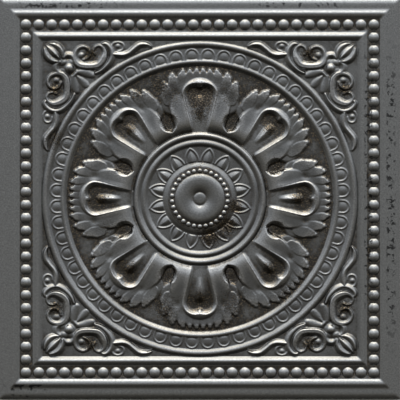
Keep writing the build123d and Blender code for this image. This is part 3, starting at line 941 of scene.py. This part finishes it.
steps = [-BEAD_PLACE + BEAD_PITCH * k for k in range(BEADS - 1)]
places = [(s, BEAD_PLACE) for s in steps] + [(BEAD_PLACE, -s) for s in steps]
places += [(-s, -BEAD_PLACE) for s in steps] + [(-BEAD_PLACE, s) for s in steps]
bead_row("beads", places, BEAD_RADIUS, BEAD_CURVE, BEAD_TOP, BEAD_FOOT, BEAD_GRID)
fine = [(FINE_BEAD_PLACE * math.sin(a), FINE_BEAD_PLACE * math.cos(a)) for a in circle(FINE_BEADS)]
bead_row("fine_beads", fine, FINE_BEAD_RADIUS, FINE_CURVE, FINE_BEAD_TOP, FINE_FOOT, FINE_GRID)
triangles = sum(2 * len(piece.data.polygons) for piece in pieces)
print(len(pieces), "glazed pieces,", triangles, "triangles")

# %% [markdown]
# ## The clay body
# A tile is glazed on its face only. The glaze ends low on the sides in a slightly wavy line, and
# below it the bare clay shows. The back isn't seen in the picture. Pressed tiles have a field of
# shallow square recesses there that key them to the mortar, so that is what it gets. Boolean cuts
# would do it too. A grid whose lines lie close together at each wall is simpler, and gives every
# recess a flat floor and four sloping sides.

# %% Body with keyed back
KEYS, KEY_PITCH, LAND, KEY_WALL, KEY_DEPTH = 8, 23.0, 3.0, 1.2, 0.5
CHAMFER, BODY_TOP = 0.6, 4.0
BODY_HALF = HALF - COAT
BACK_HALF = BODY_HALF - CHAMFER
lines, sunk_share = [-BACK_HALF], [0.0]
for k in range(KEYS):
    start = (k - KEYS / 2) * KEY_PITCH + LAND / 2
    end = start + KEY_PITCH - LAND
    lines += [start, start + KEY_WALL, end - KEY_WALL, end]
    sunk_share += [0.0, 1.0, 1.0, 0.0]

lines.append(BACK_HALF)
sunk_share.append(0.0)
back_x, back_y = np.meshgrid(lines, lines, indexing="ij")
back_z = KEY_DEPTH * np.minimum.outer(sunk_share, sunk_share)
back_points = np.stack([back_x, back_y, back_z], axis=-1).reshape(-1, 3)
back_faces = grid_faces(len(lines), len(lines)).tolist()
wall_points = []
for half, level in [(BACK_HALF, 0.0), (BODY_HALF, CHAMFER), (BODY_HALF, BODY_TOP)]:
    wall_points += [(sx * half, sy * half, level) for sx, sy in [(1, 1), (-1, 1), (-1, -1), (1, -1)]]

wall_faces = (grid_faces(3, 4, True) + len(back_points)).tolist()
body = make_piece("body", np.concatenate([back_points, wall_points]), back_faces + wall_faces, False)
print("body", len(body.data.polygons), "faces,", KEYS * KEYS, "recesses")

# %% [markdown]
# ## Tools for finishes
# A material is a tree of nodes. These helpers add one node each, so that a finish reads like a
# recipe. The shaders work in millimetres, from the place of the point on the tile, so the grain has
# its true size from any side and at any distance. The first cell has the nodes that the finishes
# share, and the second the steps that come up again and again in them.

# %% Nodes
def new_material(name):
    """A material with its node tree and shader."""
    material = bpy.data.materials.new(name)
    material.use_nodes = True
    tree = material.node_tree
    return material, tree, tree.nodes["Principled BSDF"]


def math_node(tree, operation, first, second=None, third=None):
    """A maths node on one to three values, and its result."""
    node = tree.nodes.new("ShaderNodeMath")
    node.operation = operation
    for slot, value in enumerate((first, second, third)):
        if isinstance(value, bpy.types.NodeSocket):
            tree.links.new(value, node.inputs[slot])
        elif value is not None:
            node.inputs[slot].default_value = value
    return node.outputs["Value"]


def ramp(tree, value, low, high, to_low=0.0, to_high=1.0):
    """Maps one range of values to another, smoothly and clamped."""
    node = tree.nodes.new("ShaderNodeMapRange")
    node.interpolation_type = "SMOOTHSTEP"
    tree.links.new(value, node.inputs["Value"])
    for name, number in zip(("From Min", "From Max", "To Min", "To Max"), (low, high, to_low, to_high)):
        node.inputs[name].default_value = number
    return node.outputs["Result"]


def mix_colour(tree, share, first, second):
    """Mixes two colours by a share."""
    node = tree.nodes.new("ShaderNodeMix")
    node.data_type = "RGBA"
    tree.links.new(share, node.inputs["Factor"])
    for name, value in (("A", first), ("B", second)):
        socket = [s for s in node.inputs if s.name == name and s.type == "RGBA"][0]
        if isinstance(value, bpy.types.NodeSocket):
            tree.links.new(value, socket)
        else:
            socket.default_value = (*value, 1.0)
    return [s for s in node.outputs if s.type == "RGBA"][0]


def noise(tree, place, scale, detail, roughness):
    """Noise: features in a millimetre, finer layers within them, and how strong those are."""
    node = tree.nodes.new("ShaderNodeTexNoise")
    tree.links.new(place, node.inputs["Vector"])
    node.inputs["Scale"].default_value = scale
    node.inputs["Detail"].default_value = detail
    node.inputs["Roughness"].default_value = roughness
    return node.outputs["Fac"]


# %% Steps of a finish
def millimetres(tree):
    """The place of a point on the tile, in millimetres."""
    where = tree.nodes.new("ShaderNodeTexCoord")
    scaled = tree.nodes.new("ShaderNodeVectorMath")
    scaled.operation = "SCALE"
    scaled.inputs["Scale"].default_value = 1.0 / MM
    tree.links.new(where.outputs["Object"], scaled.inputs[0])
    return scaled.outputs["Vector"]


def attribute(tree, name):
    """A value kept on the mesh points."""
    node = tree.nodes.new("ShaderNodeAttribute")
    node.attribute_name = name
    return node.outputs["Fac"]


def times(tree, first, second):
    """The product of two values."""
    return math_node(tree, "MULTIPLY", first, second)


def stir(tree, value, pattern, amount):
    """A value raised where a pattern is light, and lowered where it is dark."""
    centred = math_node(tree, "SUBTRACT", pattern, 0.5)
    return math_node(tree, "MULTIPLY_ADD", centred, amount, value)


def bumps(tree, shader, height, strength, distance):
    """Small bumps on the surface, of a height given in metres."""
    node = tree.nodes.new("ShaderNodeBump")
    node.inputs["Strength"].default_value = strength
    node.inputs["Distance"].default_value = distance
    tree.links.new(height, node.inputs["Height"])
    tree.links.new(node.outputs["Normal"], shader.inputs["Normal"])


# %% [markdown]
# ## The glaze
# The glaze is a dark metallic one, like pewter. On flat ground it is satin, crests are painted a
# little brighter as a highlight, and where it pooled it is nearly black, a little brown and much
# glossier, with golden specks. The hollows get the same dark, partly as painted shade. Painted maps
# could hold this, but rules give it at any scale. First comes where the glaze gathered and where the
# hollows are shaded: `hollow` and `pool` are values of the mesh, and noise makes their edges ragged,
# as running glaze has them. Noise of four sizes is used, from clouds of a few centimetres to specks.

# %% Where the glaze gathered, and the painted shade of the hollows
glaze, tree, shader = new_material("pewter_glaze")
place = millimetres(tree)
hollow = attribute(tree, "hollow")
pool = attribute(tree, "pool")
CLOUDS, MOTTLE, GRAIN, SPECKS = (0.06, 4.0, 0.6), (0.5, 3.0, 0.6), (1.6, 3.0, 0.7), (2.6, 1.0, 0.5)
MOTTLED_HOLLOWS, CLOUDED_HOLLOWS, MOTTLED_POOLS, SPECKED_POOLS = 1.1, 1.2, 0.6, 1.4
HOLLOW_STRENGTH, HOLLOW_EDGE, POOL_EDGE = 0.85, (0.2, 1.0), (0.3, 0.75)
clouds = noise(tree, place, *CLOUDS)
mottle = noise(tree, place, *MOTTLE)
grain = noise(tree, place, *GRAIN)
specks = noise(tree, place, *SPECKS)
ragged = stir(tree, stir(tree, hollow, mottle, MOTTLED_HOLLOWS), clouds, CLOUDED_HOLLOWS)
pooled = stir(tree, stir(tree, pool, mottle, MOTTLED_POOLS), specks, SPECKED_POOLS)
# painted shade: the hollows are darkened, partly for the glaze that pools there
hollow_pooling_and_shade = times(tree, ramp(tree, ragged, *HOLLOW_EDGE), HOLLOW_STRENGTH)
dark_share = math_node(tree, "MAXIMUM", hollow_pooling_and_shade, ramp(tree, pooled, *POOL_EDGE))
print("the glaze gathers by", len(tree.nodes), "nodes")

# %% [markdown]
# ### Colours of the glaze
# Each colour is laid over the one before, as coats are: satin and worn grain, a darker tone on the
# sunken field by `shade`, crests painted lighter as a highlight, the dark of pools and hollows (in
# the hollows partly painted shade), chips by `chips`, and golden flecks last. The ranges below say
# from which value to which a ramp rises, and some also give its two ends.

# %% Colours of the glaze
SATIN, WORN = (0.36, 0.365, 0.36), (0.52, 0.52, 0.51)
# the lighter crest colour is a painted highlight
FIELD_DARK, HIGHLIGHT_PAINT = (0.24, 0.24, 0.235), (0.62, 0.615, 0.6)
# the near black of the pools is also used as painted shade in the hollows
POOL_AND_SHADE_DARK, CHIPPED, GOLD = (0.075, 0.067, 0.056), (0.035, 0.035, 0.035), (0.42, 0.33, 0.22)
FLECK_STRENGTH, CHIP_STRENGTH = 0.8, 0.85
CHIP_PATTERN, CHIP_SHARP = (0.35, 3.0, 0.65), (0.545, 0.575)
FLECK_PATTERN, FLECK_SHARP = (1.9, 0.0, 0.5), (0.6, 0.68)
WORN_GRAIN, HIGHLIGHT_GRAIN = (0.3, 0.72), (0.35, 0.65, 0.35, 1.0)
FIELD_DARK_CLOUDS, PROUD = (0.35, 0.65, 0.35, 0.85), (-0.15, -0.7)
# the sunken field is painted darker, less so on the boss and the leaf roots
darker_field = times(tree, attribute(tree, "shade"), ramp(tree, clouds, *FIELD_DARK_CLOUDS))
proud = ramp(tree, hollow, *PROUD)
# painted highlight: crests are lightened, made ragged by the grain
painted_highlight = times(tree, proud, ramp(tree, grain, *HIGHLIGHT_GRAIN))
chips = ramp(tree, noise(tree, place, *CHIP_PATTERN), *CHIP_SHARP)
chipped = times(tree, chips, attribute(tree, "chips"))
flecks = times(tree, ramp(tree, noise(tree, place, *FLECK_PATTERN), *FLECK_SHARP), dark_share)
colour = mix_colour(tree, ramp(tree, grain, *WORN_GRAIN), SATIN, WORN)
coats = [
    (darker_field, FIELD_DARK),
    (painted_highlight, HIGHLIGHT_PAINT),
    (dark_share, POOL_AND_SHADE_DARK),
    (times(tree, chipped, CHIP_STRENGTH), CHIPPED),
    (times(tree, flecks, FLECK_STRENGTH), GOLD),
]
for share, coat_colour in coats:
    colour = mix_colour(tree, share, colour, coat_colour)

tree.links.new(colour, shader.inputs["Base Color"])
shader.inputs["Metallic"].default_value = 1.0
print(len(coats), "coats over the satin ground")

# %% [markdown]
# ### Gloss and grain
# A glaze is as smooth as it ran. Pools and crests are glossier than the satin between them.
# Two sizes of bumps break the reflections: a fine grain everywhere, and a larger orange peel that
# is strong in the pools. The bumps are a few hundredths of a millimetre high, so they belong in
# the material and not in the mesh.

# %% Gloss and grain
SATIN_ROUGHNESS, POOL_GLOSS, CREST_GLOSS = (0.3, 0.7, 0.16, 0.24), -0.1, -0.06
PEEL, PEEL_IN_POOLS, PEEL_ELSEWHERE = (1.3, 1.0, 0.6), 11.0, 0.4
GLAZE_BUMPS, GLAZE_BUMP_HEIGHT = 0.35, 0.00006
rough = ramp(tree, mottle, *SATIN_ROUGHNESS)
rough = math_node(tree, "MULTIPLY_ADD", dark_share, POOL_GLOSS, rough)
rough = math_node(tree, "MULTIPLY_ADD", proud, CREST_GLOSS, rough)
tree.links.new(rough, shader.inputs["Roughness"])
peel_share = math_node(tree, "MULTIPLY_ADD", pool, PEEL_IN_POOLS, PEEL_ELSEWHERE)
peel = times(tree, noise(tree, place, *PEEL), peel_share)
bumps(tree, shader, math_node(tree, "ADD", grain, peel), GLAZE_BUMPS, GLAZE_BUMP_HEIGHT)
print("the glaze has", len(tree.nodes), "nodes in all")

# %% [markdown]
# ## Bare clay
# The body under the glaze is fired clay: dull, buff, with soft clouds and small darker grains of
# grog, the ground fired clay that potters add. A flat colour would look like plastic here, so two
# sizes of noise vary it, and the smaller one roughens it too.

# %% Bare clay
PALE_BUFF, DARK_BUFF, GROG = (0.6, 0.5, 0.39), (0.5, 0.4, 0.3), (0.3, 0.22, 0.16)
GROG_STRENGTH, CLAY_BUMPS, CLAY_BUMP_HEIGHT = 0.5, 0.5, 0.0001
CLAY_CLOUDS, CLAY_GRAIN = (0.05, 4.0, 0.6), (1.8, 3.0, 0.6)
BUFF_CLOUDS, GROG_SHARP, CLAY_ROUGHNESS = (0.3, 0.7), (0.62, 0.72), (0.3, 0.7, 0.8, 0.92)
clay, clay_tree, clay_shader = new_material("fired_clay")
clay_place = millimetres(clay_tree)
clay_clouds = noise(clay_tree, clay_place, *CLAY_CLOUDS)
clay_grain = noise(clay_tree, clay_place, *CLAY_GRAIN)
buff = mix_colour(clay_tree, ramp(clay_tree, clay_clouds, *BUFF_CLOUDS), DARK_BUFF, PALE_BUFF)
grog_share = times(clay_tree, ramp(clay_tree, clay_grain, *GROG_SHARP), GROG_STRENGTH)
buff = mix_colour(clay_tree, grog_share, buff, GROG)
clay_tree.links.new(buff, clay_shader.inputs["Base Color"])
dull = ramp(clay_tree, clay_clouds, *CLAY_ROUGHNESS)
clay_tree.links.new(dull, clay_shader.inputs["Roughness"])
bumps(clay_tree, clay_shader, clay_grain, CLAY_BUMPS, CLAY_BUMP_HEIGHT)
print("the clay has", len(clay_tree.nodes), "nodes")

# %% [markdown]
# ## Joining the tile
# Every piece belongs to the one tile: it rides on its body, stands in for its solid, and takes its
# finish. The clay body has its own material and the rest is glazed.

# %% Every piece rides on the tile and takes its finish
for piece in pieces:
    piece.data.materials.append(clay if piece is body else glaze)
    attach(piece, "root")
    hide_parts("tile")

print(len(pieces), "pieces ride on the tile")

# %% [markdown]
# ## Table
# The tile lies face up on a plain pale table, which isn't part of it. The table lies a tenth of a
# millimetre lower than the back, because two faces at the very same level flicker.

# %% Table
TABLE_REACH, TABLE_GAP = 3.0, 0.0001
TABLE_COLOUR, TABLE_ROUGHNESS = (0.88, 0.88, 0.86, 1.0), 0.8
table_mesh = bpy.data.meshes.new("table")
table_corners = [(sx * TABLE_REACH, sy * TABLE_REACH, -TABLE_GAP) for sx, sy in CORNERS]
table_mesh.from_pydata(table_corners, [], [(3, 2, 1, 0)])
table = bpy.data.objects.new("table", table_mesh)
bpy.context.scene.collection.objects.link(table)
paint, paint_tree, paint_shader = new_material("pale_table")
paint_shader.inputs["Base Color"].default_value = TABLE_COLOUR
paint_shader.inputs["Roughness"].default_value = TABLE_ROUGHNESS
table_mesh.materials.append(paint)
print("the table reaches", TABLE_REACH, "m to each side")

# %% [markdown]
# ## Light
# A metallic face shows mostly what it reflects, so single lamps would give hard spots and black
# gaps. The light is a whole room instead. Its brightness changes steadily from dark below the
# tile's lower edge to bright beyond its top edge, as in a studio with one very large soft window.
# Flat ground reflects the ceiling, a slope that faces the window reflects the bright side, and one
# that faces away the dark side. Only the Y of a direction counts. The dark side is a little warm,
# the middle cool and the bright end cream, like daylight and its shadows. The list gives each step
# as its place from the dark side to the bright one, its brightness, and its tint.

# %% Room
WARM, COOL, CREAM, PLAIN = (1.06, 1.02, 0.92), (0.96, 1.0, 1.06), (1.06, 1.0, 0.9), (1.0, 1.0, 0.985)
ROOM = [
    (0.0, 0.02, WARM), (0.03, 0.026, WARM), (0.07, 0.034, WARM), (0.12, 0.045, WARM), (0.18, 0.062, WARM),
    (0.25, 0.088, WARM), (0.33, 0.132, WARM), (0.42, 0.183, PLAIN), (0.5, 0.232, PLAIN), (0.58, 0.33, COOL),
    (0.67, 0.56, COOL), (0.75, 0.86, COOL), (0.82, 1.06, COOL), (0.88, 1.4, PLAIN), (0.93, 2.0, CREAM),
    (0.97, 2.9, CREAM), (1.0, 4.0, CREAM),
]
ROOM_BRIGHTNESS = max(brightness for _, brightness, _ in ROOM)
world = bpy.data.worlds.new("room")
bpy.context.scene.world = world
world.use_nodes = True
room = world.node_tree
direction = room.nodes.new("ShaderNodeTexCoord")
axes = room.nodes.new("ShaderNodeSeparateXYZ")
room.links.new(direction.outputs["Generated"], axes.inputs["Vector"])
towards = math_node(room, "MULTIPLY_ADD", axes.outputs["Y"], 0.5, 0.5)
shades = room.nodes.new("ShaderNodeValToRGB")
shades.color_ramp.interpolation = "B_SPLINE"
stops = shades.color_ramp.elements
while len(stops) < len(ROOM):
    stops.new(0.5)

for stop, (position, brightness, tint) in zip(stops, ROOM):
    stop.position = position
    stop.color = (*[brightness / ROOM_BRIGHTNESS * part for part in tint], 1.0)

background = room.nodes["Background"]
room.links.new(towards, shades.inputs["Fac"])
room.links.new(shades.outputs["Color"], background.inputs["Color"])
background.inputs["Strength"].default_value = ROOM_BRIGHTNESS
print("the room runs from", ROOM[0][1], "to", ROOM_BRIGHTNESS, "in", len(ROOM), "steps")

# %% [markdown]
# ### A small lamp
# One small lamp high beyond the top edge adds a glint on beads and ridges. A lamp's energy is
# shared out over its face, so it is worked out from how bright the face should look.

# %% Lamp
LAMP_PLACE, LAMP_WIDE, LAMP_TALL, LAMP_RADIANCE = (0, 1.35, 1.15), 0.5, 0.2, 2.2
lamp_data = bpy.data.lights.new("window", "AREA")
lamp_data.shape = "RECTANGLE"
lamp_data.size, lamp_data.size_y = LAMP_WIDE, LAMP_TALL
lamp_data.energy = LAMP_RADIANCE * math.pi * LAMP_WIDE * LAMP_TALL
lamp = bpy.data.objects.new("window", lamp_data)
bpy.context.scene.collection.objects.link(lamp)
lamp.location = LAMP_PLACE
lamp.rotation_euler = (-Vector(LAMP_PLACE)).to_track_quat("-Z", "Y").to_euler()
print("the lamp gives", round(lamp_data.energy, 2), "W")

# %% [markdown]
# ## Camera
# The camera looks straight down from well above, so a long lens shows the tile nearly without
# perspective, and its frame crops the tile's rim just as the picture does. An orthographic camera
# would look nearly the same, but a real photograph has a little perspective. The view transform is
# set to Standard, so that a colour renders as it is written.

# %% Camera
FRAME_PIXELS, TILE_PIXELS = 400.0, 401.6
DISTANCE, RIM_LEVEL, FARTHEST = 1500.0, 9.0, 50
RIGHT_PIXELS, DOWN_PIXELS = 0.15, 1.3
PIXEL = 2 * HALF / TILE_PIXELS
camera_data = bpy.data.cameras.new("camera")
camera = bpy.data.objects.new("camera", camera_data)
bpy.context.scene.collection.objects.link(camera)
bpy.context.scene.camera = camera
camera.location = (RIGHT_PIXELS * PIXEL * MM, -DOWN_PIXELS * PIXEL * MM, DISTANCE * MM)
camera_data.lens = camera_data.sensor_width * (DISTANCE - RIM_LEVEL) / (FRAME_PIXELS * PIXEL)
camera_data.clip_end = FARTHEST
bpy.context.scene.view_settings.view_transform = "Standard"
print("lens", round(camera_data.lens, 1), "mm, one pixel is", round(PIXEL, 3), "mm")

# %% [markdown]
# ## Finish
# The last line brings the scene up to date.

# %% Finish
bpy.context.view_layer.update()
